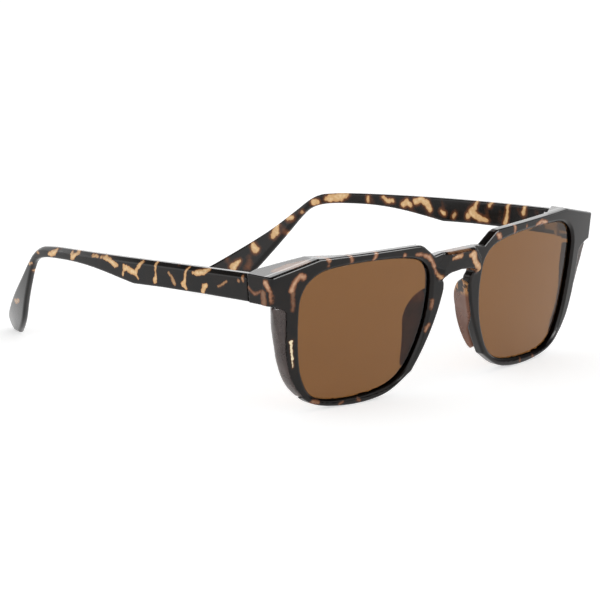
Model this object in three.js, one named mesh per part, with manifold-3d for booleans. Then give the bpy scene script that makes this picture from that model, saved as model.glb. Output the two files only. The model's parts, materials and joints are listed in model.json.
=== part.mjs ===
// Glacier glasses: a tortoiseshell front with two tinted lenses, side shields and nose pads,
// and two temples that fold on screwed three-knuckle hinges. Millimetres, +X to the wearer's
// left, +Y towards the ears, +Z up. The glasses stand on their rims and temple tips at z = 0.

import * as THREE from 'three';
import { mergeVertices } from 'three/addons/utils/BufferGeometryUtils.js';
import { TessellateModifier } from 'three/addons/modifiers/TessellateModifier.js';
import Module from 'manifold-3d';

// ---- driving dimensions -------------------------------------------------------------------

const HALF_WIDTH = 72.5;        // half of the overall width, at the end pieces
const TOP = 47.5;               // height of the rims' top edge at its outer corner
const END_TOP = 43.5;           // height of the end piece's top corner
const END_BOTTOM = 34.9;        // height of the end piece's underside
const BRIDGE_TOP = 43.3;        // height of the bridge
const WRAP_RADIUS = 285;        // radius that the front wraps round, seen from above
const LEAN = 0.128;             // forward lean of the front, as a slope
const FRONT_Y = -9.3;           // front surface at the middle, level with the end piece's top
const RIM_DEPTH = 3.6;          // front to back through the rim
const CORNER_DEPTH = 8.2;       // front to back through the thick upper corner
const CORNER_X = 57.4;          // where the thick corner begins
const CORNER_SLOPE = 0.56;      // how fast the corner's back face runs to the joint
const CORNER_TAPER = 0.68;      // how fast the corner thins towards the nose
const CORNER_END = 46;          // where it is no thicker than the rim
const TOP_X = 56;               // where the rims' top edge turns down to the end piece
const ARM_INSIDE = 66.6;        // nose side of the end piece, at the joint
const JOINT_Y = 10.1;           // where the end piece meets the temple, at the hinge's middle
const JOINT_TILT = 0.09;        // slope of that face, its top leaning back
const FACET_PROUD = 1.7;        // how far the bridge facet stands forward
const GAP = 0.3;                // gap between pieces that touch

const RIM_SIDE = 66.4;          // outer side of the rim, just under the end piece
const RIM_SIDE_TOP = 32;        // height at which it has that place
const RIM_SIDE_TAPER = 0.075;   // how fast it draws in, going down
const RIM_SIDE_TURN = 8.25;     // how far it turns in on top of that, at the rim's bottom
const RIM_SIDE_DROP = 28.7;     // height of the turn
const NOSE_SIDE = 5.75;         // nose side of the rim, under the keyhole
const NOSE_SIDE_TOP = 31.5;     // height at which it has that place
const NOSE_SIDE_TAPER = 0.17;   // how fast it spreads, going down
const NOSE_SIDE_TURN = 0.0105;  // how fast the spread grows

const LENS_FRONT = 1.5;         // depth of the lens's front face behind the rim's front
const LENS_THICKNESS = 1.3;
const CHAMFER = 0.8;            // chamfer's width round the lens opening
const GROOVE_REACH = 0.6;       // how far the groove goes into the wall

const SHIELD_THICKNESS = 1.2;
const SHIELD_FRONT = 0.5;       // depth of the slot that its front edge sits in
const SHIELD_TOP = 34;
const SHIELD_BACK = 8;          // depth of the shield's back edge
const SHIELD_TURN = 1;          // depth where its side begins to run back and inwards
// How far the shield stands out past the rim, by height.
const WING = [[SHIELD_TOP, 4.3], [31.5, 3.5], [27.4, 2.9], [26.6, 2], [21, 1], [14, 0.2], [5, 0]];
// How far its back edge is tucked in behind the rim, by height.
const TUCK = [[SHIELD_TOP, 1.2], [26, 1.7], [19, 3.5], [5, 3.5]];
// How late its side curves inwards, by height.
const TUCK_POWER = [[SHIELD_TOP, 1.2], [18, 3], [5, 3]];
const PAD_FRONT = 0.9;          // depth of the slot that the pad's front edge sits in
const PAD_THICKNESS = 1.4;
const PAD_SPREAD = 0.4;         // how fast the pad spreads outwards, going back
const PAD_SPREAD_FROM = 2;      // depth where it begins to
const PAD_FOOT = 8;             // height where the spread is nothing
const PAD_RISE = 14;            // height over which it reaches its full size

const TEMPLE_THICKNESS = 3.5;   // at the joint
const TIP_THICKNESS = 2.5;
const TEMPLE_BOW = 7.9;         // inward bow where the ear bend begins
const BOW_LENGTH = 100;         // distance from the joint to the ear bend
const EAR_TOP = 32;             // height where the ear piece begins
const EAR_SHARE = 0.5;          // how much of a drop below that counts as length

const HINGE_X = 67.2;           // the hinge's axis
const KNUCKLE_RADIUS = 1.4;
const KNUCKLE_HEIGHT = 1.9;
const KNUCKLE_GAP = 0.3;
const HINGE_MIDDLE = 39.3;      // height of the hinge's middle
const SCREW_RADIUS = 0.5;
const SCREW_HEAD_RADIUS = 1.0;
const SCREW_HEAD_HEIGHT = 0.6;
const LEAF_THICKNESS = 1.0;
const LEAF_LENGTH = 6.5;
const LEAF_HEIGHT = 5.4;
const LEAF_NECK = 1.9;          // length of the narrow part that carries the temple's knuckle
const LEAF_SINK = 0.3;          // how far the temple's leaf stands inside its knuckle

const CAP_STEP = 10;            // longest triangle edge on a face that is bent
const TEMPLE_STEP = 14;         // the same for the temples, which bend less
const SHIELD_STEP = 2.4;        // the same for the shield, which bends more tightly
const CURVE_STEP = 2.8;         // spacing of the points along a curved outline
const SPLIT_ROUNDS = 12;        // most times that a triangle is split
const WELD = 1e-4;              // points nearer than this are one point
const ROOM = 2;                 // reach of a cutter past what it cuts
const FAR = 200;                // reach of a cutter that takes everything on its side

// ---- solids: making, joining and cutting ---------------------------------------------------

const wasm = await Module();
wasm.setup();

function positionsOnly(geometry) {
  const bare = new THREE.BufferGeometry();
  bare.setAttribute('position', geometry.getAttribute('position').clone());
  if (geometry.index) bare.setIndex(geometry.index.clone());
  return mergeVertices(bare, WELD);
}

// A closed body's volume, negative when its faces point inwards.
function signedVolume(geometry) {
  const position = geometry.getAttribute('position');
  const corners = [new THREE.Vector3(), new THREE.Vector3(), new THREE.Vector3()];
  let sum = 0;
  for (let i = 0; i < geometry.index.count; i += 3) {
    corners.forEach((corner, k) => corner.fromBufferAttribute(position, geometry.index.getX(i + k)));
    sum += corners[0].dot(corners[1].cross(corners[2])) / 6;
  }
  return sum;
}

function facingOut(geometry) {
  if (signedVolume(geometry) > 0) return geometry;
  const index = geometry.index.array;
  for (let i = 0; i < index.length; i += 3) {
    const second = index[i + 1];
    index[i + 1] = index[i + 2];
    index[i + 2] = second;
  }
  return geometry;
}

function solidFrom(geometry) {
  const merged = facingOut(positionsOnly(geometry));
  const vertProperties = new Float32Array(merged.getAttribute('position').array);
  const triVerts = new Uint32Array(merged.index.array);
  return new wasm.Manifold(new wasm.Mesh({ numProp: 3, vertProperties, triVerts }));
}

function geometryFrom(solid) {
  const mesh = solid.getMesh();
  const geometry = new THREE.BufferGeometry();
  geometry.setAttribute('position', new THREE.BufferAttribute(new Float32Array(mesh.vertProperties), 3));
  geometry.setIndex(new THREE.BufferAttribute(new Uint32Array(mesh.triVerts), 1));
  return geometry;
}

function mapped(geometry, place) {
  const position = geometry.getAttribute('position');
  for (let i = 0; i < position.count; i += 1) {
    const [x, y, z] = place(position.getX(i), position.getY(i), position.getZ(i));
    position.setXYZ(i, x, y, z);
  }
  return geometry;
}

// An outline pushed out by depth, with its faces split up so that they can be bent.
function fineExtrusion(shape, depth, step = CAP_STEP) {
  const block = new THREE.ExtrudeGeometry(shape, { depth, bevelEnabled: false });
  const split = new TessellateModifier(step, SPLIT_ROUNDS).modify(positionsOnly(block));
  return positionsOnly(split);
}

function box(x0, x1, y0, y1, z0, z1) {
  const geometry = new THREE.BoxGeometry(x1 - x0, y1 - y0, z1 - z0);
  geometry.translate((x0 + x1) / 2, (y0 + y1) / 2, (z0 + z1) / 2);
  return solidFrom(geometry);
}

function post(x, y, z0, z1, radius, sides = 16) {
  const geometry = new THREE.CylinderGeometry(radius, radius, z1 - z0, sides);
  geometry.rotateX(Math.PI / 2);
  geometry.translate(x, y, (z0 + z1) / 2);
  return solidFrom(geometry);
}

// ---- the bent front ------------------------------------------------------------------------

// Front surface: x across, z up. Depth is counted from here towards the face.
function frontY(x, z) {
  return FRONT_Y + (x * x) / (2 * WRAP_RADIUS) + LEAN * (END_TOP - z);
}

// A flat outline in x and z, pushed back between two depths and bent to the front's surface.
function frontSolid(shape, nearDepth, farDepth) {
  const flat = fineExtrusion(shape, farDepth - nearDepth);
  return solidFrom(mapped(flat, (x, z, d) => [x, frontY(x, z) + nearDepth + d, z]));
}

function smooth(points, closed = false) {
  const knots = points.map(([x, z]) => new THREE.Vector3(x, z, 0));
  const curve = new THREE.CatmullRomCurve3(knots, closed, 'centripetal');
  const count = Math.round(curve.getLength() / CURVE_STEP);
  return curve.getSpacedPoints(count).map((p) => [p.x, p.y]);
}

function shapeOf(points) {
  return new THREE.Shape(points.map(([x, z]) => new THREE.Vector2(x, z)));
}

// Outer side of the rim, where the shield sits: x at a height.
function rimSide(z) {
  const drop = RIM_SIDE_TOP - z;
  return RIM_SIDE - RIM_SIDE_TAPER * drop - RIM_SIDE_TURN * (drop / RIM_SIDE_DROP) ** 4;
}

// Nose side of the rim, where the pad sits: x at a height.
function noseSide(z) {
  const drop = NOSE_SIDE_TOP - z;
  return NOSE_SIDE + NOSE_SIDE_TAPER * drop + NOSE_SIDE_TURN * drop * drop;
}

// Right half of the front's outline, from the middle of the bridge's top round to its underside.
function halfFrontOutline() {
  const top = [[0, BRIDGE_TOP], [8, BRIDGE_TOP - 0.1], [11.2, 42.7], [16, TOP - 1.3], [17.4, TOP - 0.7],
    [20, TOP - 0.6], [TOP_X, TOP], [HALF_WIDTH, END_TOP], [HALF_WIDTH, END_BOTTOM], [70, 34.3], [67.6, 33.2],
    [RIM_SIDE, RIM_SIDE_TOP]];
  const side = smooth([RIM_SIDE_TOP, 26, 19, 12, 7.5].map((z) => [rimSide(z), z])).slice(1, -1);
  const bottom = smooth([[rimSide(7.5), 7.5], [56, 3.4], [50, 1.1], [40, -0.2], [31, 0.4], [24, 2.2],
    [noseSide(7), 7]]);
  const nose = smooth([7, 12, 18, 24, 29, NOSE_SIDE_TOP].map((z) => [noseSide(z), z])).slice(1);
  const keyhole = smooth([[NOSE_SIDE, NOSE_SIDE_TOP], [6, 33.6], [7, 35.3], [5.2, 36.5], [0, 37.1]]).slice(1);
  return [...top, ...side, ...bottom, ...nose, ...keyhole];
}

function frontOutline() {
  const half = halfFrontOutline();
  const other = half.slice(1, -1).reverse().map(([x, z]) => [-x, z]);
  return shapeOf([...half, ...other].reverse());
}

// Outer edge of the chamfer round the lens opening, which the wall stands inside of.
const OPENING = [[10.9, 33.5], [11, 26], [12.9, 17.5], [17.1, 9], [22.4, 4.3], [30, 2.2], [41, 1.6],
  [50, 2.4], [55.6, 5], [59.4, 11.4], [61.3, 20], [62.3, 31], [61.9, 37], [59.2, 41.4], [53.8, 44.2],
  [44, 45.1], [32, 45], [22.3, 44.1], [15.8, 42.3], [12.1, 38.8]];

// The lens opening's wall, grown outwards by a distance.
function openingOutline(reach) {
  const grow = reach - CHAMFER;
  const loop = smooth(OPENING, true).slice(0, -1);
  const count = loop.length;
  return shapeOf(loop.map(([x, z], i) => {
    const [fromX, fromZ] = loop[(i + count - 1) % count];
    const [toX, toZ] = loop[(i + 1) % count];
    const length = Math.hypot(toX - fromX, toZ - fromZ);
    return [x + (grow * (toZ - fromZ)) / length, z - (grow * (toX - fromX)) / length];
  }));
}

// ---- panels: a side outline with a thickness, standing along the glasses -------------------

// outline is in (back, up); place gives the point that lies at (back, up) and a depth inwards.
function panel(outline, thickness, place, step = CAP_STEP) {
  return solidFrom(mapped(fineExtrusion(shapeOf(outline), thickness, step), place));
}

// The value at a height, from a table of heights and values that runs downwards.
function atHeight(table, z) {
  const below = table.findIndex(([height]) => height < z);
  const next = below < 0 ? table.length - 1 : Math.max(1, below);
  const [highZ, high] = table[next - 1];
  const [lowZ, low] = table[next];
  const share = Math.min(1, Math.max(0, (z - lowZ) / (highZ - lowZ)));
  return low + share * (high - low);
}

function shieldX(d, z) {
  const run = Math.max(0, (d - SHIELD_TURN) / (SHIELD_BACK - SHIELD_TURN));
  const share = run ** atHeight(TUCK_POWER, z);
  return rimSide(z) + (1 - share) * atHeight(WING, z) - share * atHeight(TUCK, z);
}

function onShield(inset) {
  return (d, z, t) => {
    const x = shieldX(d, z) - t - inset;
    return [x, frontY(x, z) + d, z];
  };
}

function shieldOutline(front, top) {
  return [[front, 5], ...smooth([[RIM_DEPTH + 0.2, 4.6], [6.4, 9.5], [SHIELD_BACK - 0.4, 14],
    [SHIELD_BACK, 20]]), [SHIELD_BACK, top], [front, top]];
}

// The shield's front wall, from inside the rim's outer side to its own side wall.
function wingOutline(grow) {
  const heights = [SHIELD_TOP + grow, 31.5, 27.4, 26.6, 21, 16];
  const outer = heights.map((z) => [rimSide(z) + atHeight(WING, z) - SHIELD_THICKNESS / 2, z]);
  const inner = heights.map((z) => [rimSide(z) - SHIELD_THICKNESS - grow, z]);
  return shapeOf([...outer, ...inner.reverse()].reverse());
}

function padX(d, z) {
  const spread = PAD_SPREAD * Math.min(1, Math.max(0, (z - PAD_FOOT) / PAD_RISE));
  return noseSide(z) + spread * Math.max(0, d - PAD_SPREAD_FROM);
}

function onPad(inset) {
  return (d, z, t) => {
    const x = padX(d, z) + t + inset;
    return [x, frontY(x, z) + d, z];
  };
}

function padOutline(front) {
  const back = RIM_DEPTH + front - PAD_FRONT;
  return [[front, 31.5], [front, 21], [front + 0.8, 19], [back, 15.5], [back, 9], ...smooth([[5.4, 8],
    [6.6, 9.6], [8.4, 14.4], [10.2, 21.4], [10, 26.4], [7.8, 30.2], [4.4, 32.4]])];
}

// ---- temples -------------------------------------------------------------------------------

// Distance along the temple, which grows with the drop of the ear piece as well.
function along(y, z) {
  return y - JOINT_Y + EAR_SHARE * Math.max(0, EAR_TOP - z);
}

// The joint's face at a height.
function jointY(z) {
  return JOINT_Y + JOINT_TILT * (z - HINGE_MIDDLE);
}

function templeX(y, z) {
  return HALF_WIDTH - TEMPLE_BOW * (along(y, z) / BOW_LENGTH) ** 3;
}

function templeThickness(y, z) {
  return TEMPLE_THICKNESS + (TIP_THICKNESS - TEMPLE_THICKNESS) * Math.min(1, along(y, z) / BOW_LENGTH);
}

function onTemple(y, z, t) {
  return [templeX(y, z) - t * templeThickness(y, z), y, z];
}

function templeOutline() {
  const top = smooth([[jointY(43.4) + GAP / 2, 43.4], [30, 42.4], [53, 41.1], [77, 39.5], [98, 37.9],
    [107.6, 36.8], [112, 35.8], [116, 33.5], [121, 29.2], [129.8, 21.6], [144.2, 10.8], [151.2, 5.7],
    [152.4, 3.2], [151, 1], [148, -0.4]]);
  const under = smooth([[141.4, 1], [136.9, 4.1], [132.7, 8.1], [127.9, 14.6], [123, 21.4], [118.6, 27.5],
    [115, 31], [109, 33.1], [99, 34.3], [88, 34.8], [77, 34.4], [61, 32.8]]);
  return [...top, ...under, [57, 33.1], [48, 33.7], [30, 34.5], [jointY(35.1) + GAP / 2, 35.1]];
}

// ---- hinges --------------------------------------------------------------------------------

const KNUCKLE_STEP = KNUCKLE_HEIGHT + KNUCKLE_GAP;
const HINGE_TOP = HINGE_MIDDLE + KNUCKLE_STEP + KNUCKLE_HEIGHT / 2;

function knuckle(level) {
  const middle = HINGE_MIDDLE + level * KNUCKLE_STEP;
  const z0 = middle - KNUCKLE_HEIGHT / 2;
  return post(HINGE_X, JOINT_Y, z0, z0 + KNUCKLE_HEIGHT, KNUCKLE_RADIUS, 20);
}

function screwHole() {
  return post(HINGE_X, JOINT_Y, 0, HINGE_MIDDLE + LEAF_LENGTH, SCREW_RADIUS + GAP, 12);
}

// Room that the knuckle of the other leaf needs.
function knuckleRoom(level) {
  const middle = HINGE_MIDDLE + level * KNUCKLE_STEP;
  const half = KNUCKLE_HEIGHT / 2 + KNUCKLE_GAP;
  return post(HINGE_X, JOINT_Y, middle - half, middle + half, KNUCKLE_RADIUS + GAP, 20);
}

const FRONT_LEAF_X = ARM_INSIDE - GAP;   // nose side of the front's leaf

function frontLeafPlate(gap) {
  return box(FRONT_LEAF_X - gap, FRONT_LEAF_X + LEAF_THICKNESS + gap,
    JOINT_Y - LEAF_LENGTH - gap, JOINT_Y, HINGE_MIDDLE - LEAF_HEIGHT / 2 - gap,
    HINGE_MIDDLE + LEAF_HEIGHT / 2 + gap);
}

function frontLeaf() {
  const solid = frontLeafPlate(0).add(knuckle(-1)).add(knuckle(1));
  return solid.subtract(knuckleRoom(0)).subtract(screwHole());
}

const TEMPLE_LEAF_X = HINGE_X + KNUCKLE_RADIUS - LEAF_SINK;   // nose side of the temple's leaf

function templeLeafPlate(gap) {
  const far = TEMPLE_LEAF_X + LEAF_THICKNESS + gap;
  const plate = box(TEMPLE_LEAF_X - gap, far, JOINT_Y + LEAF_NECK - gap, JOINT_Y + LEAF_LENGTH + gap,
    HINGE_MIDDLE - LEAF_HEIGHT / 2 - gap, HINGE_MIDDLE + LEAF_HEIGHT / 2 + gap);
  const neck = box(TEMPLE_LEAF_X - gap, far, JOINT_Y, JOINT_Y + LEAF_NECK + WELD,
    HINGE_MIDDLE - KNUCKLE_HEIGHT / 2 - gap, HINGE_MIDDLE + KNUCKLE_HEIGHT / 2 + gap);
  return plate.add(neck);
}

function templeLeaf() {
  return templeLeafPlate(0).add(knuckle(0)).subtract(screwHole());
}

// The screw goes in from below, and its head stays inside the end piece.
function hingeScrew() {
  const under = HINGE_MIDDLE - KNUCKLE_STEP - KNUCKLE_HEIGHT / 2 - GAP / 3;
  const shaft = post(HINGE_X, JOINT_Y, under - GAP / 3, HINGE_TOP, SCREW_RADIUS, 12);
  return shaft.add(post(HINGE_X, JOINT_Y, under - SCREW_HEAD_HEIGHT, under, SCREW_HEAD_RADIUS));
}

// ---- the pieces ----------------------------------------------------------------------------

function sided(solid, side) {
  return side > 0 ? solid : solidFrom(mapped(geometryFrom(solid), (x, y, z) => [-x, y, z]));
}

const SIDES = [1, -1];

// The thick upper corner, whose back face runs straight to the joint and tapers to the rim.
function cornerBlock() {
  const corner = shapeOf([[CORNER_END, TOP - RIM_DEPTH / 4], [CORNER_END, TOP - 0.1], [TOP_X, TOP],
    [HALF_WIDTH, END_TOP], [HALF_WIDTH, END_BOTTOM], [ARM_INSIDE, END_BOTTOM], [65.4, 38.5],
    [62.2, 42.6], [CORNER_X, 45.6]]);
  const start = frontY(CORNER_X, TOP) + CORNER_DEPTH;
  return solidFrom(mapped(fineExtrusion(corner, 1), (x, z, t) => {
    const near = frontY(x, z) + RIM_DEPTH / 4;
    const past = x - CORNER_X;
    const far = start + past * (past > 0 ? CORNER_SLOPE : CORNER_TAPER);
    return [x, near + t * (far - near), z];
  }));
}

// The bridge's facet stands forward, and slopes down to a valley beside each rim.
function bridgeFacet() {
  return frontSolid(shapeOf([[-5.9, 41.3], [-9.4, 37], [-6.4, 36], [-4, 36.9], [0, 37.1],
    [4, 36.9], [6.4, 36], [9.4, 37], [5.9, 41.3]]), -FACET_PROUD, RIM_DEPTH / 4);
}

// Room for the shield, open to the outside.
function shieldRoom() {
  const side = panel(shieldOutline(SHIELD_FRONT, SHIELD_TOP + GAP), ROOM + SHIELD_THICKNESS + GAP,
    onShield(-ROOM), SHIELD_STEP);
  return side.add(frontSolid(wingOutline(GAP), SHIELD_FRONT, SHIELD_FRONT + SHIELD_THICKNESS + 2 * GAP));
}

function underTable() {
  return box(-FAR, FAR, -FAR, FAR, -ROOM, 0);
}

function frontFrame() {
  let frame = frontSolid(frontOutline(), 0, RIM_DEPTH).add(bridgeFacet());
  for (const side of SIDES) {
    frame = frame.add(sided(cornerBlock(), side));
    const cutters = [
      frontSolid(openingOutline(0), -ROOM, RIM_DEPTH + ROOM),
      frontSolid(openingOutline(GROOVE_REACH), LENS_FRONT - GAP, LENS_FRONT + LENS_THICKNESS + GAP),
      shieldRoom(),
      panel(padOutline(PAD_FRONT), ROOM + PAD_THICKNESS + GAP, onPad(-ROOM)),
      frontLeafPlate(GAP),
      post(HINGE_X, JOINT_Y, END_BOTTOM - ROOM, HINGE_TOP + GAP, KNUCKLE_RADIUS + GAP, 24),
    ];
    for (const cutter of cutters) frame = frame.subtract(sided(cutter, side));
  }
  const behindJoint = solidFrom(mapped(geometryFrom(box(-FAR, FAR, 0, FAR, -ROOM, FAR)), (x, y, z) => (
    [x, jointY(z) - GAP / 2 + y, z])));
  return frame.subtract(behindJoint).subtract(underTable());
}

function lens() {
  return frontSolid(openingOutline(GROOVE_REACH - GAP), LENS_FRONT, LENS_FRONT + LENS_THICKNESS);
}

function sideShield() {
  const front = SHIELD_FRONT + GAP;
  const side = panel(shieldOutline(front, SHIELD_TOP), SHIELD_THICKNESS, onShield(0), SHIELD_STEP);
  return side.add(frontSolid(wingOutline(0), front, front + SHIELD_THICKNESS));
}

function nosePad() {
  return panel(padOutline(PAD_FRONT + GAP), PAD_THICKNESS, onPad(0));
}

function temple() {
  const arm = panel(templeOutline(), 1, onTemple, TEMPLE_STEP);
  return arm.subtract(templeLeafPlate(GAP)).subtract(underTable());
}

// ---- materials and assembly ----------------------------------------------------------------

const tortoise = { color: 0x3a2c24, roughness: 0.18, metalness: 0 };
const lensTint = { color: 0x6b4a30, roughness: 0.05, metalness: 0 };
const smoke = { color: 0x4f4644, roughness: 0.3, metalness: 0 };
const padPlastic = { color: 0x7a5c50, roughness: 0.35, metalness: 0 };
const steel = { color: 0xa8a9ad, roughness: 0.3, metalness: 1 };

const glasses = new THREE.Group();

function place(name, solid, look) {
  const mesh = new THREE.Mesh(geometryFrom(solid), new THREE.MeshStandardMaterial(look));
  mesh.name = name;
  glasses.add(mesh);
}

place('front_frame', frontFrame(), tortoise);
for (const side of SIDES) {
  const hand = side > 0 ? 'left' : 'right';
  place(`${hand}_lens`, sided(lens(), side), lensTint);
  place(`${hand}_side_shield`, sided(sideShield(), side), smoke);
  place(`${hand}_nose_pad`, sided(nosePad(), side), padPlastic);
  place(`${hand}_temple`, sided(temple(), side), tortoise);
  place(`${hand}_front_hinge_leaf`, sided(frontLeaf(), side), steel);
  place(`${hand}_temple_hinge_leaf`, sided(templeLeaf(), side), steel);
  place(`${hand}_hinge_screw`, sided(hingeScrew(), side), steel);
}

const extent = new THREE.Box3().setFromObject(glasses);
glasses.position.y = -(extent.min.y + extent.max.y) / 2;

export default glasses;
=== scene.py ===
"""Glacier glasses: the looks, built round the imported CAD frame.

The acetate, lenses, shields and pads are modelled here as distance functions in millimetres, meshed on
a fine grid and moved into the row frame. x runs across the front, y back to the ears, z up; d is the
depth behind the front's curved surface. The hinges stay CAD pieces with a steel material.
"""
import json
import math

import bpy
import numpy as np
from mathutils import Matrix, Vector


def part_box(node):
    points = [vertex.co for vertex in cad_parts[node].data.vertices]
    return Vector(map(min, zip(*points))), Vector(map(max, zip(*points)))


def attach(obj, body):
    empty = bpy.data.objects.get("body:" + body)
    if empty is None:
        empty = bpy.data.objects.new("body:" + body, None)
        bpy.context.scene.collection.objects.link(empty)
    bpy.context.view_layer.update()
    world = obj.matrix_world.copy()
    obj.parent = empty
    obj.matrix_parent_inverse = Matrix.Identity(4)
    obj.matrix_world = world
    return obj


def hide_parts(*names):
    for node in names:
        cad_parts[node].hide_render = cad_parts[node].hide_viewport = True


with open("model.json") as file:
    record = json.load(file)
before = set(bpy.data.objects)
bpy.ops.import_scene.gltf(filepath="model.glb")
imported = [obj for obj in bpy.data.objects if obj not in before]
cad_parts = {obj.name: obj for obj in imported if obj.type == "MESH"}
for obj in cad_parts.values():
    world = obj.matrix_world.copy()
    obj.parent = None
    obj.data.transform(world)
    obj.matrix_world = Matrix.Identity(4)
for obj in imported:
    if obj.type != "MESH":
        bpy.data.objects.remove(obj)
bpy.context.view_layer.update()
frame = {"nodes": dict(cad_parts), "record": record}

MM = 0.001

# ---- sizes, in millimetres ------------------------------------------------------------------

FRONT_HIGH = np.array(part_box("front_frame")[1]) / MM
HALF_WIDTH = FRONT_HIGH[0]
TOP = FRONT_HIGH[2]
HINGE_AT = np.array(frame["record"]["behaviour"]["joints"][0]["pos_m"]) / MM
HINGE_X, HINGE_MIDDLE = HINGE_AT[0], HINGE_AT[2]
JOINT_Y = 10.1                    # the hinge's y in the design's own coordinates
SHIFT_Y = HINGE_AT[1] - JOINT_Y   # from those to the row frame
END_TOP = 43.5
END_BOTTOM = 34.9
BRIDGE_TOP = 43.3
TOP_X = 56.0
WRAP_RADIUS = 285.0
LEAN = 0.128
FRONT_Y = -9.3
RIM_DEPTH = 3.6
CORNER_X = 57.4
CORNER_DEPTH = 8.2
CORNER_SLOPE = 0.56
CORNER_TAPER = 0.68
CORNER_END = 45.0
JOINT_TILT = 0.09
JOINT_RUN = math.hypot(1, JOINT_TILT)   # turns a distance in y into one across the tilted joint
JOINT_HALF_GAP = 0.15
FACET_PROUD = 1.7
LENS_FRONT, LENS_THICKNESS = 1.5, 1.3
SHIELD_FRONT, SHIELD_BACK, SHIELD_TOP = 0.5, 8.0, 34.0
SHIELD_THICKNESS, SHIELD_TURN = 1.2, 1.0
# By height, from the bottom: how far the shield stands out past the rim, how far its back edge is
# tucked in behind the rim, and how late its side curves inwards.
WING = ((5, 14, 21, 26, 28.5, 31.5, 34), (0, 0.2, 1, 2, 2.8, 3.5, 4.3))
TUCK = ((5, 19, 26, 34), (3.5, 3.5, 1.7, 1.2))
TUCK_POWER = ((5, 18, 34), (3, 3, 1.2))
PAD_FRONT, PAD_THICKNESS, PAD_SPREAD = 0.9, 1.4, 0.4
PAD_PROUD = 0.12     # how far a pad stands out of the rim's nose side
PAD_ROUND = 0.9
TEMPLE_THICKNESS, TIP_THICKNESS = 3.5, 2.5
TEMPLE_BOW, BOW_LENGTH, EAR_SHARE = 7.9, 100.0, 0.5

# ---- distances: outlines and joins -----------------------------------------------------------

CURVE_PIECES = 6     # straight pieces between two points of a smooth curve


def smooth(points, closed=False):
    """A Catmull-Rom curve through the points, as a dense line of points."""
    p = np.array(points, float)
    n = len(p)
    if closed:
        before, after = np.roll(p, 1, 0), np.roll(p, -1, 0)
        far = np.roll(p, -2, 0)
    else:
        before = np.vstack([2 * p[0] - p[1], p[:-1]])
        after = np.vstack([p[1:], 2 * p[-1] - p[-2]])
        far = np.vstack([p[2:], 2 * p[-1] - p[-2], p[-1:]])
    out = []
    for i in range(n if closed else n - 1):
        for t in np.arange(CURVE_PIECES) / CURVE_PIECES:
            a, b, c, e = before[i], p[i], after[i], far[i]
            out.append(0.5 * (2 * b + (c - a) * t + (2 * a - 5 * b + 4 * c - e) * t**2
                              + (3 * b - a - 3 * c + e) * t**3))
    if not closed:
        out.append(p[-1])
    return [tuple(q) for q in out]


def outline_distance(points, u, v):
    """Signed distance to a closed outline in the plane, negative inside."""
    corners = np.array(points, float)
    best = np.full(np.broadcast(u, v).shape, 1e9)
    inside = np.zeros(best.shape, bool)
    for (au, av), (bu, bv) in zip(corners, np.roll(corners, -1, 0)):
        eu, ev = bu - au, bv - av
        length = eu * eu + ev * ev
        if length < 1e-12:
            continue
        share = np.clip(((u - au) * eu + (v - av) * ev) / length, 0, 1)
        best = np.minimum(best, (u - au - share * eu) ** 2 + (v - av - share * ev) ** 2)
        crosses = (av > v) != (bv > v)
        if bv != av:
            inside ^= crosses & (u < au + (v - av) * eu / ev)
    return np.where(inside, -1, 1) * np.sqrt(best)


def inset(points, amount):
    """The outline moved inwards, with its corners kept, for rounding by the same amount."""
    p = np.array(points, float)
    p = p[np.hypot(*(p - np.roll(p, 1, 0)).T) > 1e-6]
    area = 0.5 * np.sum(p[:, 0] * np.roll(p[:, 1], -1) - np.roll(p[:, 0], -1) * p[:, 1])
    along = np.roll(p, -1, 0) - p
    along /= np.hypot(*along.T)[:, None]
    normal = np.stack([-along[:, 1], along[:, 0]], 1) * np.sign(area)
    back = np.roll(normal, 1, 0)
    middle = normal + back
    middle /= np.maximum((middle * normal).sum(1), 0.3)[:, None]
    return p + amount * middle


def rounded(a, b, size):
    """What is in both, with the edge between them rounded."""
    h = np.maximum(size - np.abs(a - b), 0) / size
    return np.maximum(a, b) + h * h * size / 4


def joined(a, b, size):
    """What is in either, with the corner between them filled."""
    return -rounded(-a, -b, size)


def bevelled(a, b, leg, soft):
    """What is in both, with a flat bevel cut along their edge."""
    return rounded(rounded(a, b, soft), (a + b + leg) * math.sqrt(0.5), soft)


def box_distance(x, y, z, low, high):
    """Signed distance to a box."""
    parts = [np.abs(c - (l + h) / 2) - (h - l) / 2 for c, l, h in zip((x, y, z), low, high)]
    outer = np.sqrt(sum(np.maximum(p, 0) ** 2 for p in parts))
    return outer + np.minimum(np.maximum(np.maximum(parts[0], parts[1]), parts[2]), 0)


def ease(value):
    t = np.clip(value, 0, 1)
    return t * t * (3 - 2 * t)


# ---- the front -------------------------------------------------------------------------------


def front_y(x, z):
    return FRONT_Y + x * x / (2 * WRAP_RADIUS) + LEAN * (END_TOP - z)


def joint_y(z):
    return JOINT_Y + JOINT_TILT * (z - HINGE_MIDDLE)


def rim_side(z):
    drop = 32 - z
    return 66.4 - 0.075 * drop - 8.25 * (drop / 28.7) ** 4


def nose_side(z):
    drop = 31.5 - z
    return 5.75 + 0.17 * drop + 0.0105 * drop * drop


PAST_MIDDLE = -6.0   # the half outlines run past the middle, so that no edge lies on it


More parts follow.
